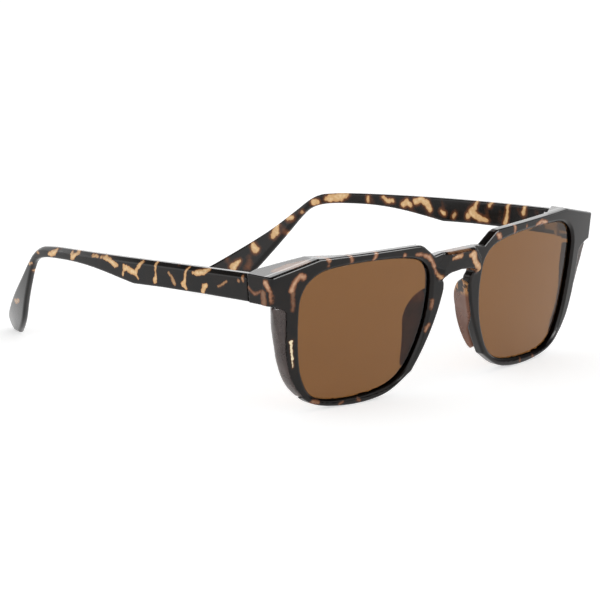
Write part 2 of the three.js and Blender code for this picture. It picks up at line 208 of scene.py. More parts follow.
def front_outline():
    top = [(PAST_MIDDLE, BRIDGE_TOP), (8, BRIDGE_TOP - 0.1), (11.2, 42.7), (16, TOP - 1.3),
           (17.4, TOP - 0.7), (20, TOP - 0.6), (TOP_X, TOP), (HALF_WIDTH, END_TOP),
           (HALF_WIDTH, END_BOTTOM), (70, 34.3), (67.6, 33.2), (rim_side(32), 32)]
    side = smooth([(rim_side(z), z) for z in (32, 26, 19, 12, 7.5)])
    bottom = smooth([(rim_side(7.5), 7.5), (56, 3.4), (50, 1.1), (40, 0), (31, 0.4), (24, 2.2),
                     (nose_side(7), 7)])
    nose = smooth([(nose_side(z), z) for z in (7, 12, 18, 24, 29, 31.5)])
    keyhole = smooth([(nose_side(31.5), 31.5), (6, 33.6), (7, 35.3), (5.2, 36.5), (0, 37.1)])
    return top + side[1:] + bottom[1:] + nose[1:] + keyhole[1:] + [(PAST_MIDDLE, 37.1)]


CHAMFER_EDGE = smooth([(10.9, 33.5), (11, 26), (12.9, 17.5), (17.1, 9), (22.4, 4.3), (30, 2.2), (41, 1.6),
                       (50, 2.4), (55.6, 5), (59.4, 11.4), (61.3, 20), (62.3, 31), (61.9, 37), (59.2, 41.4),
                       (53.8, 44.2), (44, 45.1), (32, 45), (22.3, 44.1), (15.8, 42.3), (12.1, 38.8)],
                      closed=True)
CHAMFER = 0.8        # its width round the lens opening

CORNER_ROUND = 0.5
SOFT, BEVEL_SOFT = 0.3, 0.25     # roundings of small edges and of the bevels' edges
BACK_ROUND = 1.0                 # of the rims' back edges
OUTLINE = inset(front_outline(), CORNER_ROUND)
FACET = [(PAST_MIDDLE, 42.6), (5.2, 42.3), (8.3, 38.2), (8.3, 36), (PAST_MIDDLE, 36)]
FACET_SIDE = 1.8     # width of the slope from the facet down to the valley
EDGE_BEVEL = 0.4
CORNER = [(CORNER_END, TOP - 1.6), (CORNER_END, TOP - 0.15), (TOP_X, TOP), (HALF_WIDTH, END_TOP),
          (HALF_WIDTH, END_BOTTOM), (66.6, END_BOTTOM), (65.4, 38.5), (62.2, 42.6), (CORNER_X, 45.6)]


def shield_surface(d, z):
    """The shield's outer side: x at a depth and height."""
    run = np.maximum(0, (d - SHIELD_TURN) / (SHIELD_BACK - SHIELD_TURN))
    share = run ** np.interp(z, *TUCK_POWER)
    return rim_side(z) + (1 - share) * np.interp(z, *WING) - share * np.interp(z, *TUCK)


def pad_surface(d, z):
    spread = PAD_SPREAD * np.clip((z - 8) / 14, 0, 1) * np.maximum(0, d - 2)
    return nose_side(z) - PAD_PROUD + spread


def off_surface(surface, ax, d, z):
    """Signed distance to a surface that gives x at a depth and height, positive outside it."""
    step = 0.05
    run = (surface(d + step, z) - surface(d - step, z)) / (2 * step)
    rise = (surface(d, z + step) - surface(d, z - step)) / (2 * step)
    return (ax - surface(d, z)) / np.sqrt(1 + run * run + rise * rise)


# The shield's and the pad's outlines, in depth and height.
SHIELD_CURVE = smooth([(RIM_DEPTH + 0.2, 4.6), (6.4, 9.5), (SHIELD_BACK - 0.4, 14), (SHIELD_BACK, 20)])
SHIELD_SHAPE = [(SHIELD_FRONT - 2, 5), *SHIELD_CURVE, (SHIELD_BACK, SHIELD_TOP),
                (SHIELD_FRONT - 2, SHIELD_TOP)]
SHIELD_CORNER, PAD_CORNER = 0.8, 0.4
PAD_CURVE = smooth([(5.4, 8), (6.6, 9.6), (8.4, 14.4), (10.2, 21.4), (10, 26.4), (7.8, 30.2), (4.4, 32.4)])
PAD_SHAPE = [(PAD_FRONT, 31.5), (PAD_FRONT, 21), (PAD_FRONT + 0.8, 19), (RIM_DEPTH, 15.5), (RIM_DEPTH, 9),
             *PAD_CURVE]
SHIELD_OUTLINE = inset(SHIELD_SHAPE, SHIELD_CORNER)
PAD_OUTLINE = inset(PAD_SHAPE, PAD_CORNER)


SHIELD_ROUND, SHIELD_EDGE, SHIELD_INNER = 0.9, 0.7, 0.5   # roundings: outside, round the edge, inside


def shield_distance(x, d, z):
    """A side wall with a front wall that runs into the rim."""
    ax = np.abs(x)
    side = outline_distance(SHIELD_OUTLINE, d, z) - SHIELD_CORNER
    off = off_surface(shield_surface, ax, d, z)
    outer = rounded(off, SHIELD_FRONT - d, SHIELD_ROUND)
    room = rounded(off + SHIELD_THICKNESS, SHIELD_FRONT + SHIELD_THICKNESS - d, SHIELD_INNER)
    walls = rounded(outer, -room, SHIELD_INNER)
    walls = rounded(walls, side, SHIELD_EDGE)
    return np.maximum(walls, rim_side(z) - SHIELD_THICKNESS - ax)


def pad_sides(x, d, z):
    """Signed distances to the pad's outline and to its free face."""
    side = outline_distance(PAD_OUTLINE, d, z) - PAD_CORNER
    return side, -off_surface(pad_surface, np.abs(x), d, z)


def pad_distance(x, d, z):
    side, off = pad_sides(x, d, z)
    plate = np.abs(off + PAD_THICKNESS / 2) - PAD_THICKNESS / 2
    return rounded(side, plate, PAD_ROUND)


def pad_room(x, d, z):
    """What a pad takes out of the rim, open on the nose side."""
    side, off = pad_sides(x, d, z)
    return rounded(side, -off - PAD_THICKNESS, PAD_ROUND)


BLOCK_ROUND, TAPER_SOFT = 0.4, 0.8
BLOCK_FRONT = 1.0    # the corner block starts this far behind the front's surface
CORNER_OUTLINE = inset(CORNER, BLOCK_ROUND)


def corner_distance(ax, d, z):
    y = front_y(ax, z) + d
    start = front_y(CORNER_X, TOP) + CORNER_DEPTH
    behind = (y - start - CORNER_SLOPE * (ax - CORNER_X)) / math.hypot(1, CORNER_SLOPE)
    taper = (y - start - CORNER_TAPER * (ax - CORNER_X)) / math.hypot(1, CORNER_TAPER)
    behind = rounded(behind, taper, TAPER_SOFT)
    side = outline_distance(CORNER_OUTLINE, ax, z) - BLOCK_ROUND
    return rounded(rounded(side, behind, BLOCK_ROUND), BLOCK_FRONT - d, SOFT)


SEAM = 0.15   # gap that shows between the acetate and what is let into it


def face_distance(ax, d, z):
    """The front's surface, with the raised facet over the bridge."""
    beyond = outline_distance(FACET, ax, z)
    relief = FACET_PROUD * (1 - np.clip(beyond / FACET_SIDE, 0, 1))
    on_slope = (beyond > 0) & (beyond < FACET_SIDE)
    slant = np.where(on_slope, math.cos(math.atan(FACET_PROUD / FACET_SIDE)), 1)
    return -(d + relief) * slant


def front_distance(x, d, z):
    ax = np.abs(x)
    y = front_y(ax, z) + d
    outline = outline_distance(OUTLINE, ax, z) - CORNER_ROUND
    wall = -outline_distance(CHAMFER_EDGE, ax, z) - CHAMFER
    face = face_distance(ax, d, z)
    rim = bevelled(outline, face, EDGE_BEVEL, BEVEL_SOFT)
    rim = np.maximum(rim, bevelled(wall, face, CHAMFER, BEVEL_SOFT))
    rim = rounded(rim, d - RIM_DEPTH, BACK_ROUND)
    body = joined(rim, corner_distance(ax, d, z), SOFT)
    body = rounded(body, (y - joint_y(z) + JOINT_HALF_GAP) / JOINT_RUN, SOFT)
    body = np.maximum(body, SEAM - shield_distance(x, d, z))
    body = np.maximum(body, SEAM - pad_room(x, d, z))
    return np.maximum(body, -hinge_pocket(ax, y, z))


KNUCKLE_RADIUS = 1.4
KNUCKLES_UP = 3.45                          # from the hinge's middle to its ends
LEAF_UP, LEAF_REACH = 2.7, 6.5              # half the leaf's height, and how far it runs from the pin
FRONT_LEAF_X, TEMPLE_LEAF_X = (66.3, 67.3), (68.3, 69.3)
PLAY = 0.3                                  # room round the metal


def hinge_pocket(ax, y, z):
    barrel = np.hypot(ax - HINGE_X, y - JOINT_Y) - KNUCKLE_RADIUS - PLAY
    barrel = np.maximum(barrel, z - HINGE_MIDDLE - KNUCKLES_UP)
    low = (FRONT_LEAF_X[0] - PLAY, JOINT_Y - LEAF_REACH - PLAY, HINGE_MIDDLE - LEAF_UP - PLAY)
    high = (FRONT_LEAF_X[1] + PLAY, JOINT_Y + 1, HINGE_MIDDLE + LEAF_UP + PLAY)
    leaf = box_distance(ax, y, z, low, high)
    return np.minimum(barrel, leaf)


LENS_HIDDEN = 0.25   # how far the lens runs into the rim


def lens_distance(x, d, z):
    side = outline_distance(CHAMFER_EDGE, np.abs(x), z) + CHAMFER - LENS_HIDDEN
    return rounded(side, np.abs(d - LENS_FRONT - LENS_THICKNESS / 2) - LENS_THICKNESS / 2, SOFT)


# ---- the temples -----------------------------------------------------------------------------


def along(y, z):
    return y - JOINT_Y + EAR_SHARE * np.maximum(0, 32 - z)


def temple_x(y, z):
    return HALF_WIDTH - TEMPLE_BOW * (along(y, z) / BOW_LENGTH) ** 3


def temple_thickness(y, z):
    share = np.clip(along(y, z) / BOW_LENGTH, 0, 1)
    return TEMPLE_THICKNESS + (TIP_THICKNESS - TEMPLE_THICKNESS) * share


def temple_middle(y):
    """Height of the middle of the temple at a distance back."""
    return np.interp(y, [10, 53, 77, 98, 113, 125, 140, 150], [39, 37, 37, 36.1, 34, 22.5, 8, 3])


TEMPLE_END = 8.0    # the outline starts before the joint, which a plane cuts
TEMPLE_SHAPE = smooth([(TEMPLE_END, 43.5), (30, 42.4), (53, 41.1), (77, 39.5), (98, 37.9), (107.6, 36.8),
                       (112, 35.8), (116, 33.5), (121, 29.2), (129.8, 21.6), (144.2, 10.8), (151.2, 5.7),
                       (152.4, 3.2), (151, 1.1), (148, 0.05)]) + smooth(
    [(141.4, 1), (136.9, 4.1), (132.7, 8.1), (127.9, 14.6), (123, 21.4), (118.6, 27.5), (115, 31),
     (109, 33.1), (99, 34.3), (88, 34.8), (77, 34.4), (61, 32.8)]) + [(57, 33.1), (48, 33.7), (30, 34.5),
                                                                     (TEMPLE_END, 35.1)]
TOP_BEVEL, LOW_BEVEL = 1.3, 0.4
INNER_ROUND, EAR_ROUND = 0.8, 1.2
EAR_START, EAR_BLEND = 100, 25       # where the arm's section turns into the ear's, and over what length


def temple_distance(t, y, z):
    """t is the depth inwards from the temple's outer face."""
    outline = outline_distance(TEMPLE_SHAPE, y, z)
    thick = temple_thickness(y, z)
    ear = np.clip((y - EAR_START) / EAR_BLEND, 0, 1)
    leg = LOW_BEVEL + (TOP_BEVEL - LOW_BEVEL) * (1 - ear) * ease(z - temple_middle(y))
    arm = bevelled(outline, -t, leg, SOFT)
    arm = rounded(arm, t - thick, INNER_ROUND)
    soft = rounded(outline, np.abs(t - thick / 2) - thick / 2, EAR_ROUND)
    arm = arm + (soft - arm) * ear
    arm = rounded(arm, (joint_y(z) + JOINT_HALF_GAP - y) / JOINT_RUN, SOFT)
    x = temple_x(y, z) - t
    low = (TEMPLE_LEAF_X[0] - PLAY, JOINT_Y - 2, HINGE_MIDDLE - LEAF_UP - PLAY)
    high = (TEMPLE_LEAF_X[1] + PLAY, JOINT_Y + LEAF_REACH + PLAY, HINGE_MIDDLE + LEAF_UP + PLAY)
    leaf = box_distance(x, y, z, low, high)
    return np.maximum(arm, -leaf)


# ---- meshing ---------------------------------------------------------------------------------


STEEP = 0.2          # least steepness along a grid edge for moving its crossing
MOST_MOVE = 0.3      # furthest that a crossing moves, in steps
MOST_REACH = 0.6     # furthest that a vertex is from the middle of its crossings, in steps
MIDDLE_PULL = 0.06   # how strongly that middle draws the vertex


def slope(distance, p, step=0.03):
    """The direction that a distance grows in, at points p."""
    out = np.empty_like(p)
    for axis in range(3):
        ahead, behind = p.copy(), p.copy()
        ahead[:, axis] += step
        behind[:, axis] -= step
        out[:, axis] = distance(*ahead.T) - distance(*behind.T)
    return out / np.maximum(np.linalg.norm(out, axis=1), 1e-12)[:, None]


def edge_crossings(distance, value, low, step, axis):
    """The grid edges along one axis that the surface crosses.

    For each edge: its first grid point, the crossing, the surface's direction and whether it starts inside.
    """
    inside = value < 0
    first = tuple(slice(0, -1) if a == axis else slice(1, -1) for a in range(3))
    second = tuple(slice(1, None) if a == axis else slice(1, -1) for a in range(3))
    at = np.argwhere(inside[first] != inside[second])
    at += [0 if a == axis else 1 for a in range(3)]
    to = at.copy()
    to[:, axis] += 1
    start, end = value[tuple(at.T)], value[tuple(to.T)]
    p = low + step * at.astype(float)
    p[:, axis] += step * start / (start - end)
    for _ in range(2):
        g = slope(distance, p)
        move = distance(*p.T) / np.where(np.abs(g[:, axis]) > STEEP, g[:, axis], np.inf)
        p[:, axis] -= np.clip(move, -MOST_MOVE * step, MOST_MOVE * step)
    return at, p, slope(distance, p), start < 0


def cells_round(at, axis, cells):
    """The four cells round each grid edge, as flat numbers in order round the edge."""
    u, v = [a for a in range(3) if a != axis]
    around = []
    for du, dv in ((0, 0), (1, 0), (1, 1), (0, 1)):
        cell = at.copy()
        cell[:, u] -= du
        cell[:, v] -= dv
        around.append(np.ravel_multi_index(tuple(cell.T), tuple(cells)))
    return np.stack(around, 1)


def totals(cells, values, size):
    """The sum of the values that fall in each cell, column by column."""
    return np.stack([np.bincount(cells, column, size) for column in values.T], 1)


def cell_points(quads, crossings, size, step):
    """For each cell the point nearest to its crossings' tangent planes, kept close to the crossings."""
    planes, reaches, middles, count = (np.zeros((size, n)) for n in (9, 3, 3, 1))
    for quad, (_, p, g, _) in zip(quads, crossings):
        outer = (g[:, :, None] * g[:, None, :]).reshape(-1, 9)
        reach = g * (g * p).sum(1)[:, None]
        for cells in quad.T:
            planes += totals(cells, outer, size)
            reaches += totals(cells, reach, size)
            middles += totals(cells, p, size)
            count += totals(cells, np.ones((len(p), 1)), size)
    middles /= count
    a = planes.reshape(-1, 3, 3) / count[:, :, None] + MIDDLE_PULL * np.eye(3)
    b = reaches / count + MIDDLE_PULL * middles
    p = np.linalg.solve(a, b[:, :, None])[:, :, 0]
    return np.clip(p, middles - MOST_REACH * step, middles + MOST_REACH * step)


def net(distance, low, high, step):
    """Dual contouring: one vertex for each grid cell that the surface crosses, kept on its edges."""
    low = np.array(low, float)
    count = np.ceil((np.array(high) - low) / step).astype(int) + 1
    line = [low[a] + step * np.arange(count[a]) for a in range(3)]
    value = distance(line[0][:, None, None], line[1][None, :, None], line[2][None, None, :])
    crossings = [edge_crossings(distance, value, low, step, axis) for axis in range(3)]
    around = [cells_round(crossings[axis][0], axis, count - 1) for axis in range(3)]
    used, number = np.unique(np.concatenate(around), return_inverse=True)
    quads = np.split(number.reshape(-1, 4), np.cumsum([len(cells) for cells in around])[:-1])
    points = cell_points(quads, crossings, len(used), step)
    faces = []
    for axis, quad in enumerate(quads):
        starts_inside = crossings[axis][3]
        turn = starts_inside if axis != 1 else ~starts_inside
        faces.append(np.where(turn[:, None], quad[:, ::-1], quad))
    return points, np.concatenate(faces)


def largest_part(p, quads):
    """Drops loose specks: only the biggest connected part of the mesh stays."""
    label = np.arange(len(p))
    before = None
    while before is None or (label != before).any():
        before = label.copy()
        lowest = label[quads].min(1)
        np.minimum.at(label, quads.ravel(), np.repeat(lowest, 4))
        label = label[label]
    biggest = np.bincount(label[quads[:, 0]]).argmax()
    quads = quads[label[quads[:, 0]] == biggest]
    used = np.unique(quads)
    number = np.zeros(len(p), int)
    number[used] = np.arange(len(used))
    return p[used], number[quads]


def front_place(p):
    """From (x, depth, z) to the row frame."""
    return np.stack([p[:, 0], front_y(p[:, 0], p[:, 2]) + p[:, 1] + SHIFT_Y, p[:, 2]], 1)


def temple_place(side):
    def place(p):
        x = temple_x(p[:, 1], p[:, 2]) - p[:, 0]
        return np.stack([side * x, p[:, 1] + SHIFT_Y, p[:, 2]], 1)
    return place


def placed_normals(distance, place, p):
    """Normals of the placed surface, from two directions that lie on it."""
    g = slope(distance, p, 0.08)
    other = np.where(np.abs(g[:, :1]) < 0.6, [[1.0, 0, 0]], [[0, 1.0, 0]])
    one = np.cross(g, other)
    one /= np.linalg.norm(one, axis=1)[:, None]
    two = np.cross(g, one)
    step = 0.05
    base = place(p)
    flat = np.cross(place(p + step * one) - base, place(p + step * two) - base)
    flat /= np.linalg.norm(flat, axis=1)[:, None]
    out = place(p + step * g) - base
    return flat * np.sign((flat * out).sum(1))[:, None]


def new_mesh(name, points, quads, normals):
    mesh = bpy.data.meshes.new(name)
    mesh.vertices.add(len(points))
    mesh.vertices.foreach_set("co", points.ravel())
    mesh.loops.add(quads.size)
    mesh.loops.foreach_set("vertex_index", quads.ravel())
    mesh.polygons.add(len(quads))
    mesh.polygons.foreach_set("loop_start", np.arange(0, quads.size, 4))
    mesh.polygons.foreach_set("use_smooth", np.ones(len(quads), bool))
    mesh.update(calc_edges=True)
    mesh.validate()
    mesh.normals_split_custom_set_from_vertices(normals)
    return mesh


def mesh_piece(name, distance, place, low, high, step, marks=None):
    """Meshes the part of a distance function that lies in a box, and puts it in the row frame."""
    p, quads = largest_part(*net(distance, low, high, step * COARSER))
    spots = place(p)
    normals = placed_normals(distance, place, p)
    corner = spots[quads]
    face = np.cross(corner[:, 2] - corner[:, 0], corner[:, 3] - corner[:, 1])
    if (face * normals[quads].sum(1)).sum() < 0:
        quads = quads[:, ::-1]
    mesh = new_mesh(name, spots * MM, quads, normals)
    if marks:
        for key, values in marks(p).items():
            layer = mesh.attributes.new(key, "FLOAT", "POINT")
            layer.data.foreach_set("value", values.astype(np.float32))
    piece = bpy.data.objects.new(name, mesh)
    bpy.context.collection.objects.link(piece)
    return piece


# ---- honey strokes in the acetate, and a painted sheen on an end piece's top -------------------

# A stroke is a chain of (along, up, radius); its tone is how bright its honey is.

DEPTH_FADE = 0.45    # how fast a stroke shrinks, going into the acetate
FAR = 9.0            # the distance given where there is no stroke


def stroke_marks(u, v, depth, strokes):
    """The distance to the nearest stroke's edge, and that stroke's tone. Strokes shrink with depth."""
    best = np.full(u.shape, FAR)
    tone = np.ones(u.shape)
    for strength, chain in strokes:
        links = zip(chain[:-1], chain[1:]) if len(chain) > 1 else [(chain[0], chain[0])]
        for (au, av, ar), (bu, bv, br) in links:
            eu, ev = bu - au, bv - av
            share = np.clip(((u - au) * eu + (v - av) * ev) / max(eu * eu + ev * ev, 1e-9), 0, 1)
            aside, above = u - au - share * eu, v - av - share * ev
            away = np.sqrt(aside**2 + above**2 + (DEPTH_FADE * depth) ** 2) - ar - share * (br - ar)
            tone = np.where(away < best, strength, tone)
            best = np.minimum(best, away)
    return best, tone


OUTER_STROKES = [
    (1, [(27.3, 42.2, 0.7), (29, 41.4, 0.9), (31.5, 40.6, 0.85), (33.4, 40.3, 0.4)]),
    (1, [(27.6, 37.4, 0.6), (28.6, 37, 0.8), (29, 35.5, 0.8)]),
    (1, [(35.8, 41.8, 0.5), (36.6, 40, 0.35), (37, 37.5, 0.55), (37.8, 36.3, 0.8), (36.2, 35.1, 0.4)]),
    (0.5, [(44.2, 38.8, 0.3), (42.6, 37.6, 0.5), (41.8, 36, 0.7)]),
    (1, [(50.4, 41, 0.6), (50.2, 39, 0.3), (50.1, 37, 0.35), (50.5, 35.5, 0.9)]),
    (1, [(56.8, 40.3, 0.6), (57.6, 39, 0.7), (58.2, 38.4, 0.6)]),
    (1, [(58.6, 38, 0.5), (59.6, 36.6, 0.9), (61.5, 36.6, 0.9), (63.8, 37.4, 0.9), (64.8, 36.8, 0.8)]),
    (1, [(58.2, 34.8, 0.3), (59.3, 36, 0.5)]),
    (1, [(65, 38, 0.4), (65.6, 34.8, 0.3)]),
    (1, [(68.2, 37.6, 0.4), (69.5, 37.4, 0.9), (71.8, 38.2, 0.6), (74.5, 38.9, 0.7), (77, 38.8, 0.4)]),
    (1, [(78.5, 38.6, 0.4), (80.3, 38.5, 0.5), (81.6, 38.5, 0.4)]),
    (1, [(88.6, 38, 0.4), (90.3, 37.3, 0.6), (91.3, 36.4, 0.8), (92.3, 35.9, 0.7)]),
    (1, [(92.8, 38, 0.3), (92.2, 36.8, 0.5)]),
    (1, [(101.4, 36.6, 0.7), (103, 35.6, 0.9), (105, 35, 0.7), (106.2, 34.8, 0.3)]),
    (0.5, [(112.3, 34, 0.4), (113.5, 34.2, 0.4)]),
    (0.7, [(117.5, 29.8, 0.3), (119.5, 29.2, 0.5)]),
    (0.4, [(133.5, 14, 0.6), (137.5, 12.8, 0.9)]),
    (0.5, [(19, 39.9, 0.3), (21, 38.6, 0.4), (22.5, 37.8, 0.3)]),
    (0.6, [(12.5, 42.3, 0.4), (12, 41.2, 0.4)]),
    (0.5, [(13.8, 40.8, 0.5)]),
]
INNER_STROKES = [
    (1, [(25.7, 42.3, 0.6), (26, 40.3, 0.8)]),
    (1, [(32.7, 42.2, 0.6), (33, 40, 0.5), (33.2, 38, 0.6), (33.8, 35.8, 0.8)]),
    (1, [(39.8, 41.8, 0.5), (40.8, 40.8, 0.6)]),
    (1, [(46.2, 41.5, 0.6), (47, 39.5, 0.8), (48.6, 37.5, 1.3), (45, 36, 1), (41.5, 35.6, 0.5)]),
    (1, [(50, 36, 1)]),
    (0.6, [(55.5, 36, 0.6), (56.3, 35, 0.6)]),
    (1, [(60.2, 35.6, 0.7), (61.4, 36.2, 0.6)]),
    (1, [(66.3, 36.2, 0.9), (67.5, 38, 1.2), (70, 39, 1), (72.5, 38.2, 1)]),
    (1, [(74.5, 36.8, 0.8), (76, 37.4, 1.1), (77.4, 36.5, 1)]),
    (1, [(82, 37.2, 0.7), (84, 37, 0.8), (86, 38, 0.5)]),
    (1, [(91.8, 37.5, 0.5), (92, 36, 0.5)]),
    (1, [(100.3, 37.2, 0.6), (103, 36.2, 1.3), (107, 35.4, 1.3), (108.3, 35, 0.9)]),
    (1, [(112, 33.6, 0.8), (113.5, 33.3, 1.1)]),
    (0.6, [(117.6, 29.5, 0.5)]),
    (1, [(121.2, 27.2, 0.9), (122.4, 27.1, 0.9)]),
    (1, [(126, 24, 0.8), (126.3, 22, 1.3), (127, 20.5, 0.8)]),
    (1, [(132.5, 15.5, 1.2), (133.6, 17, 0.8)]),
    (1, [(139, 9.3, 1.3), (137.5, 11, 0.6)]),
]
FRONT_STROKES = [
    (0.8, [(-65.4, 39.3, 1), (-64.7, 41.3, 0.8), (-63, 43.2, 0.8), (-61.6, 42.6, 0.9)]),
    (0.2, [(-64.9, 38, 0.7), (-64.3, 33, 0.5)]),
    (1.3, [(-63.9, 23, 0.6), (-63.7, 21.4, 0.3), (-63.1, 18.5, 0.3), (-62.5, 15, 0.2)]),
    (0.8, [(-53.5, 47.2, 0.6), (-53, 46.7, 0.5)]),
    (0.4, [(-53.1, 45.2, 0.35)]),
    (0.8, [(-45.3, 47.6, 0.6), (-45, 46.4, 0.45), (-44.8, 45.6, 0.5)]),
    (0.8, [(-35.6, 47.4, 0.5), (-35.9, 46.2, 0.5), (-36.3, 45, 0.5)]),
    (0.7, [(-24.3, 44.7, 0.5)]),
    (0.9, [(-19.5, 44.3, 0.5), (-17, 43.9, 0.4), (-14, 42.8, 0.6), (-12.6, 41.3, 0.55), (-11.2, 39.2, 0.35),
           (-10.2, 37.2, 0.35), (-8.7, 35.6, 0.5)]),
    (0.4, [(-10.4, 28.5, 0.5), (-10.6, 26, 0.5)]),
    (0.5, [(-11.3, 20.8, 0.6), (-12.2, 19.2, 0.4)]),
    (0.3, [(-54.2, 3.1, 0.6), (-52.3, 2.5, 0.6)]),
    (0.9, [(-5, 41.2, 0.3), (-3.6, 41.6, 0.6), (-1.5, 41.6, 0.7)]),
    (0.3, [(-6, 43, 0.3), (3, 43, 0.3)]),
    (0.9, [(2.6, 41.2, 0.6), (4.2, 41.2, 1.2), (5, 39.3, 1), (6.6, 37.4, 0.9), (8.2, 35.4, 0.6)]),
    (0.8, [(16.8, 45.6, 0.5), (18, 44.8, 0.9), (18.8, 44.3, 0.5)]),
    (0.8, [(25.7, 46.8, 0.5), (25.9, 44.6, 0.4)]),
    (0.4, [(32, 45.6, 0.5)]),
    (0.9, [(37.6, 45.2, 0.4), (40, 46, 0.7), (42.5, 45.4, 0.6), (43.5, 45.2, 0.3)]),
]
# On the side of the right end piece, in y and z.
END_STROKES = [
    (0.8, [(2.5, 41.8, 1), (1.6, 40.5, 0.8), (0.8, 39.2, 0.35), (0.7, 35.6, 0.25)]),
    (0.25, [(3.2, 36, 1.2), (3.6, 38.6, 1)]),
    (0.4, [(4.5, 39, 0.3), (7, 37.8, 0.35), (10, 39.5, 0.35)]),
]
# A painted sheen on the top of the right end piece, in x and depth: a faint rose patch that stands in for
# the pinkish grazing reflection there.
TOP_SHEEN_PATCH = [
    (0.3, [(-67, 4.5, 1.8), (-63.5, 3.8, 2.8), (-60, 3, 2)]),
]
TOP_SHEEN_FADE = 4         # how fast the painted sheen shrinks below the top, against the strokes

STROKES_FROM, STROKES_TO, STROKE_SPACING = 14, 146, 9   # the random strokes along a temple
STROKE_REACH = 1.6   # how far a random stroke goes up and down from its middle


def random_strokes(seed):
    """Slanting strokes, evenly spread along a temple, across its height."""
    random = np.random.default_rng(seed)
    strokes = []
    y = STROKES_FROM
    while y < STROKES_TO:
        middle = temple_middle(y)
        rise = random.uniform(-2.6, 2.6)
        lean = random.uniform(-1.8, 3.2)
        bend = random.uniform(-0.8, 0.8)
        size = random.uniform(0.5, 1.0)
        waist = size * random.uniform(0.6, 1.2)
        end = size * random.uniform(0.5, 0.9)
        chain = [(y - lean, middle + rise - STROKE_REACH, size), (y + bend, middle + rise, waist),
                 (y + lean, middle + rise + STROKE_REACH, end)]
        strokes.append((random.choice([0.6, 1, 1]), chain))
        y += STROKE_SPACING * random.uniform(0.6, 1.4)
    return strokes


def rim_strokes():
    """Faint strokes along the bottoms of the rims."""
    random = np.random.default_rng(7)
    strokes = []
    for side in (-1, 1):
        for x in np.arange(26, 50, 9.5):
            at = side * (x + random.uniform(-2, 2))
            strokes.append((0.22, [(at, 0.9, 0.35), (at + random.uniform(-1.5, 1.5), 1.4, 0.3)]))
    return strokes


BRIDGE_REACH = 10    # up to this x the strokes are less pink


def matte_share(x, d, z):
    """How matte the acetate is: in the lens's groove, and on the sill under the lens."""
    past_wall = outline_distance(CHAMFER_EDGE, np.abs(x), z) + CHAMFER
    groove = ease((0.35 - past_wall) / 0.2) * ease((d - CHAMFER + 0.15) / 0.2)
    sill = ease((7 - z) / 3) * ease((CHAMFER + 0.4 - past_wall) / 0.2)
    return np.maximum(groove, 0.85 * sill)


def front_marks(p):
    x, d, z = p.T
    edge = np.clip(d - RIM_DEPTH, 0, None)
    best, tone = stroke_marks(x, z, edge, FRONT_STROKES + rim_strokes())
    y = front_y(x, z) + d
    aside = HALF_WIDTH - np.abs(x)
    best_end, tone_end = stroke_marks(y, z, aside, END_STROKES)
    best_end = np.where(x < 0, best_end, FAR)
    # The painted sheen on the near end piece's top, worked out like a stroke and kept in the same marks.
    best_sheen, tone_sheen = stroke_marks(x, d, TOP_SHEEN_FADE * np.clip(END_TOP - z, 0, None), TOP_SHEEN_PATCH)
    tone = np.where(best_end < best, tone_end, tone)
    best = np.minimum(best, best_end)
    tone = np.where(best_sheen < best, tone_sheen, tone)
    pink = np.where(tone > 1, 0.0, np.where(np.abs(x) < BRIDGE_REACH, 0.55, 1.0))
    return {"patch": np.minimum(best, best_sheen), "tone": tone, "halo": np.full(x.shape, 0.35),
            "pink": pink, "groove": matte_share(x, d, z)}


def temple_marks(outer, inner):
    def marks(p):
        t, y, z = p.T
        thick = temple_thickness(y, z)
        best_out, tone_out = stroke_marks(y, z, t, outer)
        best_in, tone_in = stroke_marks(y, z, thick - t, inner)
        depth = np.clip(t / thick, 0, 1)
        return {"patch": np.minimum(best_out, best_in),
                "tone": np.where(best_in < best_out, tone_in, tone_out),
                "halo": 0.2 + 0.8 * depth,
                "pink": 0.7 * np.clip((24 - y) / 10, 0, 1)}
    return marks


# ---- materials -----------------------------------------------------------------------------------


